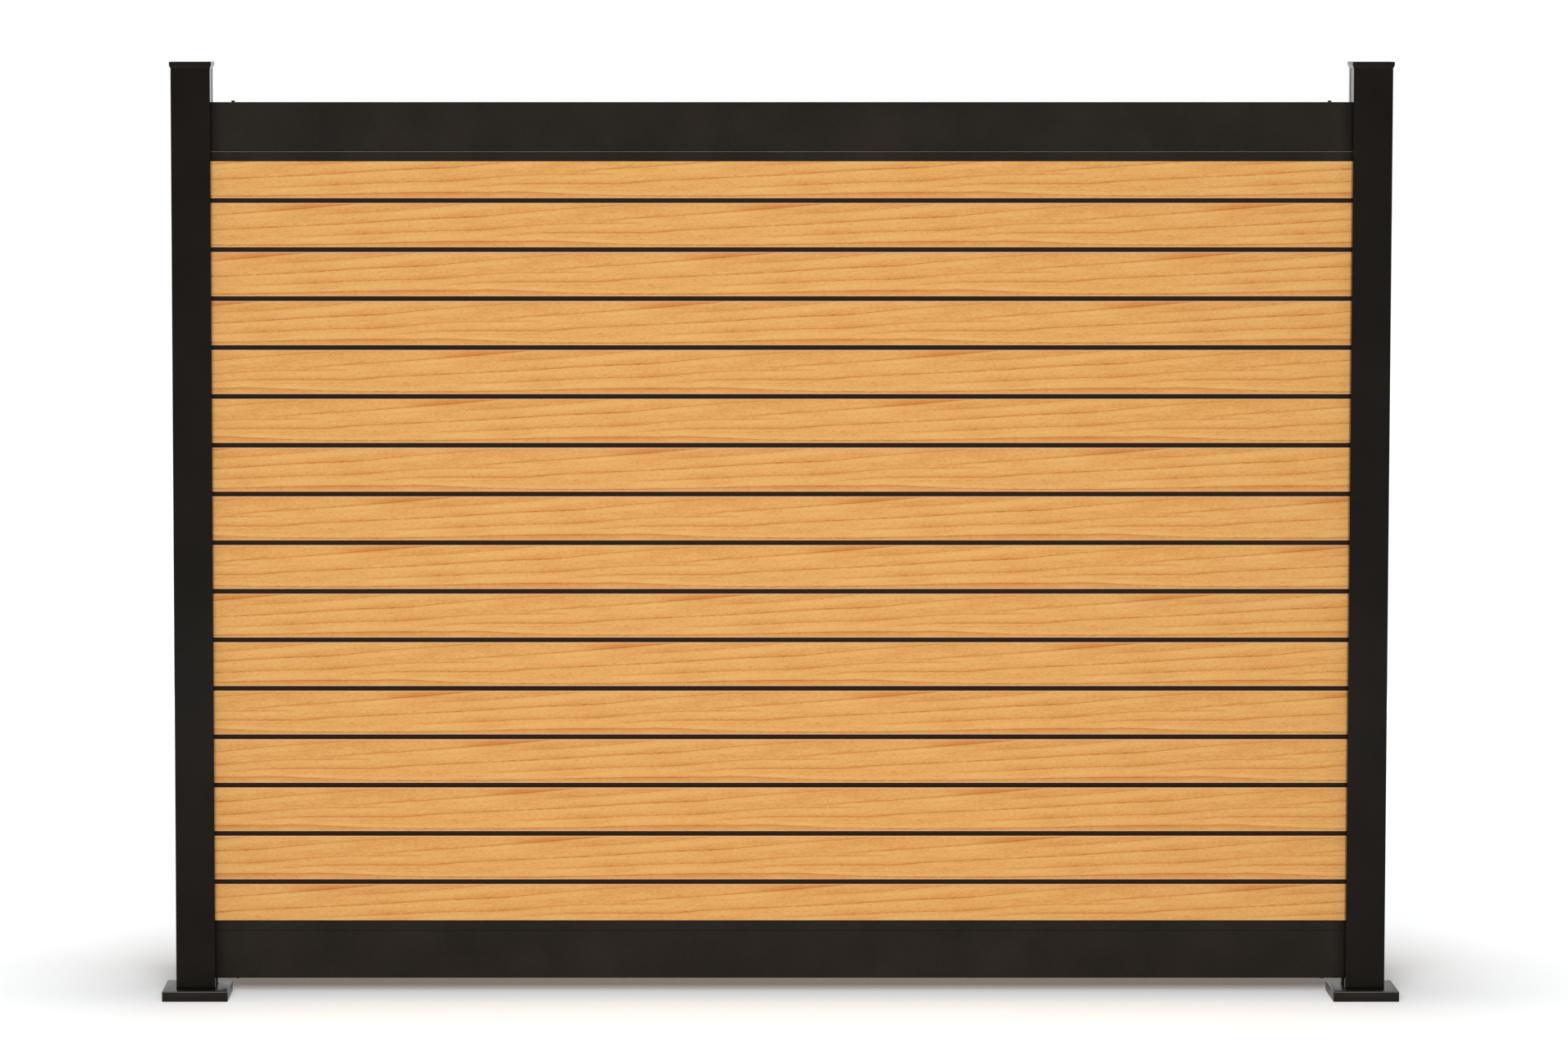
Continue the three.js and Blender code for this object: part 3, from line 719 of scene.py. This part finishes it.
def black_cap_plastic():
    """Etched-mould black plastic."""
    material, tree = material_tree("black_cap_plastic")
    place = millimetres(tree)
    grain_size = {"Vector": place, "Scale": 1 / MOULD_GRAIN}
    grain = add(tree, "ShaderNodeTexVoronoi", grain_size, feature="SMOOTH_F1")
    cloud = add(tree, "ShaderNodeTexNoise", {"Vector": place, "Scale": 1 / MOULD_CLOUD, "Detail": 2.0})
    colour = add(
        tree,
        "ShaderNodeMix",
        {"Factor": cloud, "A": linear(PLASTIC_DARK), "B": linear(PLASTIC_LIGHT)},
        data_type="RGBA",
    )
    sheen = {"Value": cloud, "To Min": PLASTIC_ROUGHNESS[0], "To Max": PLASTIC_ROUGHNESS[1]}
    roughness = add(tree, "ShaderNodeMapRange", sheen)
    bump = add(tree, "ShaderNodeBump", {"Height": grain, "Strength": 0.25, "Distance": MOULD_BUMP * MM})
    shader = add(
        tree,
        "ShaderNodeBsdfPrincipled",
        {
            "Base Color": colour,
            "Roughness": roughness,
            "Normal": bump,
            "IOR": 1.5,
            "Specular IOR Level": 0.08,
        },
    )
    add(tree, "ShaderNodeOutputMaterial", {"Surface": shader})
    return material


cap_plastic = black_cap_plastic()
dress(["left_cap", "right_cap"], cap_plastic, radius=0.3)

# %% [markdown]
# ## Cover strips: the posts' slots above the top rail
#
# Above the top rail nothing fills the posts' slots, yet the picture shows them closed almost flush, with
# a thin dark line down each side. That is the usual clip-in cover strip, moulded in the same plastic as
# the caps: a face, and two legs that splay a little and grip the slot. Such a strip is the same all the
# way up, so its section is drawn once and stretched between two heights.

# %% Cover strips
SLOT_WIDTH = 34.4
STRIP_PLAY = 0.6
STRIP_SINK = 0.6
STRIP_WALL = 1.6
STRIP_LEG = 10
LEG_SPLAY = 0.4


def strip_section():
    """A strip's section in millimetres, as pairs of a depth in the slot and a distance from its middle."""
    half = SLOT_WIDTH / 2 - STRIP_PLAY
    inside = STRIP_SINK + STRIP_WALL
    tip = STRIP_SINK + STRIP_LEG
    spread = half + LEG_SPLAY
    leg = [(STRIP_SINK, half), (tip, spread), (tip, spread - STRIP_WALL), (inside, half - STRIP_WALL)]
    return leg + [(depth, -across) for depth, across in reversed(leg)]


def cover_strip(side, outward):
    """A strip from the top rail to its post's top. Outward is 1 or -1, the way along X into the slot."""
    low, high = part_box(f"{side}_post")
    face = low.x if outward > 0 else high.x
    rail_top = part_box("top_rail")[1].z
    section = [(face + outward * depth * MM, across * MM) for depth, across in strip_section()]
    mesh = bmesh.new()
    ends = [[mesh.verts.new((x, y, z)) for x, y in section] for z in (rail_top, high.z)]
    for end in ends:
        mesh.faces.new(end)
    for i in range(len(section)):
        j = (i + 1) % len(section)
        mesh.faces.new((ends[0][i], ends[0][j], ends[1][j], ends[1][i]))
    bmesh.ops.recalc_face_normals(mesh, faces=mesh.faces)
    data = bpy.data.meshes.new(f"{side}_slot_strip")
    mesh.to_mesh(data)
    mesh.free()
    data.materials.append(cap_plastic)
    strip = bpy.data.objects.new(f"{side}_slot_strip", data)
    bpy.context.scene.collection.objects.link(strip)
    soften(strip, radius=0.3)
    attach(strip, "screen")
    print(f"{strip.name}: {(high.z - rail_top) / MM:.0f} mm long")


cover_strip("left", -1)
cover_strip("right", 1)

# %% [markdown]
# ## Hot-dip galvanised steel: feet and brackets
#
# Zinc freezes into large flat crystals, so hot-dipped steel is a patchwork of lighter and darker greys 5
# to 15 mm across, each with its own sheen. A Voronoi pattern is that patchwork: each cell gets one
# brightness and one roughness, and noise bends the borders by up to 3 mm. It is a metal, so its colour is
# that of its reflection.

# %% Galvanised steel
SPANGLE = 9
SPANGLE_BEND = 3
ZINC_BUMP = 0.1
ZINC_DARK, ZINC_LIGHT = "#8f9497", "#bcc0c2"
ZINC_ROUGHNESS = (0.32, 0.55)


def galvanised_steel():
    """Zinc-coated steel with its crystal pattern."""
    material, tree = material_tree("galvanised_steel")
    place = millimetres(tree)
    waves = add(tree, "ShaderNodeTexNoise", {"Vector": place, "Scale": 1 / SPANGLE, "Detail": 2.0})
    bend = {0: waves.outputs["Color"], 1: (SPANGLE_BEND,) * 3, 2: place}
    bent = add(tree, "ShaderNodeVectorMath", bend, operation="MULTIPLY_ADD")
    crystals = add(tree, "ShaderNodeTexVoronoi", {"Vector": bent, "Scale": 1 / SPANGLE})
    cell = add(tree, "ShaderNodeSeparateColor", {"Color": crystals.outputs["Color"]})
    colour = add(
        tree,
        "ShaderNodeMix",
        {"Factor": cell.outputs["Red"], "A": linear(ZINC_DARK), "B": linear(ZINC_LIGHT)},
        data_type="RGBA",
    )
    sheen = {"Value": cell.outputs["Green"], "To Min": ZINC_ROUGHNESS[0], "To Max": ZINC_ROUGHNESS[1]}
    roughness = add(tree, "ShaderNodeMapRange", sheen)
    bump = add(tree, "ShaderNodeBump", {"Height": waves, "Strength": 0.2, "Distance": ZINC_BUMP * MM})
    shader = add(
        tree,
        "ShaderNodeBsdfPrincipled",
        {"Base Color": colour, "Metallic": 1.0, "Roughness": roughness, "Normal": bump},
    )
    add(tree, "ShaderNodeOutputMaterial", {"Surface": shader})
    return material


galvanised = galvanised_steel()
BRACKETS = sorted(name for name in nodes if name.endswith("_bracket"))
dress(["left_foot", "right_foot", *BRACKETS], galvanised, radius=0.3)

# %% [markdown]
# ## Threaded screws
#
# The solids have plain screws, whose size and place are right. These ones take both from them and add
# what a plain one lacks: a domed head with a six-lobed recess, and a real thread. Each is a 4.2 mm
# pan-head screw, 16 mm long under its head.

# %% Sizes of a screw, in millimetres
SCREW_RADIUS = 2.1
SCREW_ROOT = 1.5
SCREW_LENGTH = 16
THREAD_PITCH = 1.4
POINT_LENGTH = 3.15
POINT_TIP = 0.2
NECK_LENGTH = 0.6
HEAD_RADIUS = 4
HEAD_HEIGHT = 3
HEAD_CHAMFER = 0.2
HEAD_DOME = [(4, 0.9), (3.8, 1.7), (3.4, 2.35), (2.9, 2.8), (2.4, 3)]
RECESS_RADIUS = 1.75
RECESS_LOBES = 6
RECESS_LOBE = 0.3
RECESS_DEPTH = 1.6
RECESS_RIM = 0.1
RECESS_DIMPLE = 0.3
print(f"screw {2 * SCREW_RADIUS} by {SCREW_LENGTH} mm, head {2 * HEAD_RADIUS} mm across")

# %% [markdown]
# Everything on a screw is round about its axis, except the recess and the thread, and both are a radius
# that changes with the angle. So a screw is one stack of rings, and each ring is a function of the angle.
# The thread's ridge takes up two thirds of its pitch.

# %% A screw from rings
AROUND = 36
THREAD_STEPS = 8
SHARP_ANGLE = math.radians(40)
# Shares: of the pitch that the ridge takes, and of the recess's radius at its rim and at its floor.
RIDGE_SHARE = 2 / 3
RECESS_FLARE, RECESS_TAPER = 1.08, 0.94


def thread_radius(angle, z):
    """The shank's radius: a helical ridge on a core, both tapering to the point."""
    turn = (angle / math.tau - z / THREAD_PITCH) % 1
    ridge = max(0, 1 - abs(turn - 0.5) / (RIDGE_SHARE / 2))
    depth = -z
    grown = min(1, max(0, (depth - NECK_LENGTH) / THREAD_PITCH))
    taper = min(1, (SCREW_LENGTH - depth) / POINT_LENGTH)
    return (SCREW_ROOT + (SCREW_RADIUS - SCREW_ROOT) * ridge * grown) * taper


def lobe_radius(angle, share):
    """The radius of the recess's wall, times a share."""
    return (RECESS_RADIUS + RECESS_LOBE * math.cos(RECESS_LOBES * angle)) * share


def screw_rings():
    """A screw's rings from its point to its recess's floor: pairs of a radius function and a height."""
    steps = round((SCREW_LENGTH - POINT_TIP) / THREAD_PITCH * THREAD_STEPS)
    shank = [-SCREW_LENGTH + POINT_TIP + i * THREAD_PITCH / THREAD_STEPS for i in range(steps)]
    rings = [(lambda a, z=z: thread_radius(a, z), z) for z in shank]
    under_head = [(SCREW_ROOT, 0), (HEAD_RADIUS - HEAD_CHAMFER, 0), (HEAD_RADIUS, HEAD_CHAMFER)]
    rings += [(lambda a, r=r: r, z) for r, z in under_head + HEAD_DOME]
    recess = [
        (RECESS_FLARE, HEAD_HEIGHT),
        (1, HEAD_HEIGHT - RECESS_RIM),
        (RECESS_TAPER, HEAD_HEIGHT - RECESS_DEPTH),
    ]
    rings += [(lambda a, s=s: lobe_radius(a, s), z) for s, z in recess]
    return rings


def screw_mesh(name):
    """A screw along Z in metres, its head above 0 and its point below."""
    mesh = bmesh.new()
    loops = []
    for radius, z in screw_rings():
        angles = [math.tau * i / AROUND for i in range(AROUND)]
        points = [(radius(a) * math.cos(a) * MM, radius(a) * math.sin(a) * MM, z * MM) for a in angles]
        loops.append([mesh.verts.new(p) for p in points])
    for low, high in zip(loops, loops[1:]):
        for i in range(AROUND):
            j = (i + 1) % AROUND
            mesh.faces.new((low[i], low[j], high[j], high[i]))
    ends = ((loops[0], -SCREW_LENGTH), (loops[-1], HEAD_HEIGHT - RECESS_DEPTH - RECESS_DIMPLE))
    for (loop, z), flip in zip(ends, (True, False)):
        tip = mesh.verts.new((0, 0, z * MM))
        for i in range(AROUND):
            pair = (loop[(i + 1) % AROUND], loop[i]) if flip else (loop[i], loop[(i + 1) % AROUND])
            mesh.faces.new((*pair, tip))
    data = bpy.data.meshes.new(name)
    mesh.to_mesh(data)
    mesh.free()
    data.shade_smooth()
    data.set_sharp_from_angle(angle=SHARP_ANGLE)
    print(f"{name}: {len(data.polygons)} faces")
    return data


rail_screw_mesh = screw_mesh("rail_screw")
bracket_screw_mesh = screw_mesh("bracket_screw")
bracket_screw_mesh.materials.append(galvanised)

# %% [markdown]
# The bracket screws are plain zinc, like the brackets. The four rail screws are blackened so that their
# heads don't stand out on the rail. That finish is a thin black passivation over zinc: still a metal,
# dark, with a little zinc showing through.

# %% Black screw steel
ZINC_WEAR = 1.5
PASSIVATION, WORN_PASSIVATION = "#1d1b19", "#474340"
PASSIVATION_ROUGHNESS = (0.35, 0.55)


def black_screw_steel():
    """Black-passivated zinc."""
    material, tree = material_tree("black_screw_steel")
    place = millimetres(tree)
    wear = add(tree, "ShaderNodeTexNoise", {"Vector": place, "Scale": 1 / ZINC_WEAR, "Detail": 3.0})
    colour = add(
        tree,
        "ShaderNodeMix",
        {"Factor": wear, "A": linear(PASSIVATION), "B": linear(WORN_PASSIVATION)},
        data_type="RGBA",
    )
    sheen = {"Value": wear, "To Min": PASSIVATION_ROUGHNESS[0], "To Max": PASSIVATION_ROUGHNESS[1]}
    roughness = add(tree, "ShaderNodeMapRange", sheen)
    inputs = {"Base Color": colour, "Metallic": 1.0, "Roughness": roughness}
    shader = add(tree, "ShaderNodeBsdfPrincipled", inputs)
    add(tree, "ShaderNodeOutputMaterial", {"Surface": shader})
    return material


rail_screw_mesh.materials.append(black_screw_steel())
print(f"rail screws in {rail_screw_mesh.materials[0].name}")

# %% [markdown]
# Each screw takes the place of its plain one. Its axis and the side that its head is on follow from its
# name: a rail screw's head is outside its rail, above the top one and below the bottom one, and a bracket
# screw's head looks away from its post.

# %% Screws in their places
def head_direction(name):
    """The way that a screw's head looks."""
    if name.endswith("_rail_screw"):
        return Vector((0, 0, 1 if name.startswith("top") else -1))
    return Vector((1 if "_left_" in name else -1, 0, 0))


def place_screw(name, mesh):
    """Puts a threaded screw where the plain one is."""
    low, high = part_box(name)
    direction = head_direction(name)
    centre = (low + high) / 2
    half_length = abs((high - low).dot(direction)) / 2
    seat = centre + direction * (half_length - HEAD_HEIGHT * MM)
    screw = bpy.data.objects.new(f"{name}_threaded", mesh)
    screw.matrix_world = Matrix.Translation(seat) @ direction.to_track_quat("Z", "Y").to_matrix().to_4x4()
    bpy.context.scene.collection.objects.link(screw)
    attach(screw, "screen")
    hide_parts(name)


SCREWS = sorted(name for name in nodes if "_screw" in name)
for name in SCREWS:
    if name.endswith("_rail_screw"):
        place_screw(name, rail_screw_mesh)
    else:
        place_screw(name, bracket_screw_mesh)
print(f"{len(SCREWS)} screws in place")

# %% [markdown]
# ## A white studio
#
# The screen stands on a white studio floor that runs into a white background. The world is white where
# the camera or a reflection looks at it, and dimmer where it only lights the scene, so that the object
# isn't washed out.

# %% White world
WORLD_LIGHT = 0.17


def seen_directly(tree):
    """1 for camera, glossy and transmission rays, and 0 for the rays that only carry light."""
    path = add(tree, "ShaderNodeLightPath").outputs
    looking = {0: path["Is Camera Ray"], 1: path["Is Glossy Ray"]}
    either = add(tree, "ShaderNodeMath", looking, operation="MAXIMUM")
    through = {0: either, 1: path["Is Transmission Ray"]}
    return add(tree, "ShaderNodeMath", through, operation="MAXIMUM")


def white_world():
    """White to look at, and WORLD_LIGHT strong as a light."""
    world = bpy.data.worlds.new("white_studio")
    world.use_nodes = True
    tree = world.node_tree
    tree.nodes.clear()
    strength = add(tree, "ShaderNodeMapRange", {"Value": seen_directly(tree), "To Min": WORLD_LIGHT})
    sky = add(tree, "ShaderNodeBackground", {"Color": (1, 1, 1, 1), "Strength": strength})
    add(tree, "ShaderNodeOutputWorld", {"Surface": sky})
    bpy.context.scene.world = world


white_world()
print(f"world white to look at, {WORLD_LIGHT} strong as a light")

# %% [markdown]
# The floor is pale matte paint, lit nearly to white. A little glow, which only the camera and reflections
# see, does the rest. It is nothing under the screen, so the shadow of the rail and the covers stays, and
# it grows with the distance, fast at first and then slowly, so that no horizon shows. A ramp read at the
# square root of the distance gives its first stops room for that. The glow is a touch cool, to make up for
# the warm light that the wood throws down.

# %% Studio floor, in metres
FLOOR_RADIUS = 40
FLOOR_SIDES = 64
FLOOR_DROP = 0.2 * MM
FLOOR_COLOUR = "#f4f3f1"
SHADOW_MIDDLE = (0, 0.21, 0)
SHADOW_REACH = (1.2, 0.08, 0)
GLOW_COLOUR = "#f9fdff"
GLOW_REACH = 8
# Distances from the shadow and the glow's strength there.
FLOOR_GLOW = [(0, 0), (0.06, 0.16), (0.15, 0.36), (0.3, 0.52), (0.6, 0.7), (1.6, 0.78), (5.6, 1)]


def floor_paint():
    """Pale matte paint that glows a little, more so away from the screen."""
    material, tree = material_tree("studio_floor")
    place = add(tree, "ShaderNodeTexCoord").outputs["Object"]
    from_middle = add(tree, "ShaderNodeVectorMath", {0: place, 1: SHADOW_MIDDLE}, operation="SUBTRACT")
    spread = add(tree, "ShaderNodeVectorMath", {0: from_middle}, operation="ABSOLUTE")
    past = add(tree, "ShaderNodeVectorMath", {0: spread, 1: SHADOW_REACH}, operation="SUBTRACT")
    outside = add(tree, "ShaderNodeVectorMath", {0: past, 1: (0, 0, 0)}, operation="MAXIMUM")
    distance = add(tree, "ShaderNodeVectorMath", {0: outside}, operation="LENGTH").outputs["Value"]
    share = add(tree, "ShaderNodeMath", {0: distance, 1: GLOW_REACH}, operation="DIVIDE")
    root = add(tree, "ShaderNodeMath", {0: share}, operation="SQRT")
    glow = add(tree, "ShaderNodeValToRGB", {"Fac": root})
    stops = [(math.sqrt(metres / GLOW_REACH), grey) for metres, grey in FLOOR_GLOW]
    colour_stops(glow, [(position, [grey, grey, grey, 1]) for position, grey in stops])
    strength = add(tree, "ShaderNodeMath", {0: glow, 1: seen_directly(tree)}, operation="MULTIPLY")
    light = add(tree, "ShaderNodeEmission", {"Color": linear(GLOW_COLOUR), "Strength": strength})
    paint = add(tree, "ShaderNodeBsdfDiffuse", {"Color": linear(FLOOR_COLOUR)})
    both = add(tree, "ShaderNodeAddShader", {0: paint, 1: light})
    add(tree, "ShaderNodeOutputMaterial", {"Surface": both})
    return material


def floor_disc():
    """The floor, a flat disc just under the feet."""
    mesh = bmesh.new()
    bmesh.ops.create_circle(mesh, cap_ends=True, segments=FLOOR_SIDES, radius=FLOOR_RADIUS)
    data = bpy.data.meshes.new("studio_floor")
    mesh.to_mesh(data)
    mesh.free()
    data.materials.append(floor_paint())
    floor = bpy.data.objects.new("studio_floor", data)
    floor.location.z = -FLOOR_DROP
    bpy.context.scene.collection.objects.link(floor)


floor_disc()
print(f"floor {2 * FLOOR_RADIUS} m across, glow in {len(FLOOR_GLOW)} steps")

# %% [markdown]
# A wide soft box, higher than the camera and nearer, lights the front evenly. A grid narrows its beam, and
# the shadow falls straight back, where the screen hides most of it. A low one behind keeps the back
# readable. Both are hidden from reflections, because the black coat would show them as patches.

# %% Soft boxes
def soft_box(name, place, target, size, watts, spread):
    """A rectangular area light that looks at a point, with its beam's spread in degrees."""
    light = bpy.data.lights.new(f"{name}_soft_box", "AREA")
    light.shape = "RECTANGLE"
    light.size, light.size_y = size
    light.energy = watts
    light.spread = math.radians(spread)
    lamp = bpy.data.objects.new(f"{name}_soft_box", light)
    lamp.location = place
    lamp.rotation_euler = (Vector(target) - Vector(place)).to_track_quat("-Z", "Y").to_euler()
    lamp.visible_camera = False
    lamp.visible_glossy = False
    bpy.context.scene.collection.objects.link(lamp)
    print(f"{lamp.name}: {size} m, {watts} W")


soft_box("front", place=(-0.4, -8.0, 3.4), target=(0, 0, 0), size=(4.5, 1.6), watts=222, spread=120)
soft_box("rear", place=(0, 5.0, 1.3), target=(0, 0, 1.0), size=(4, 1.6), watts=60, spread=180)
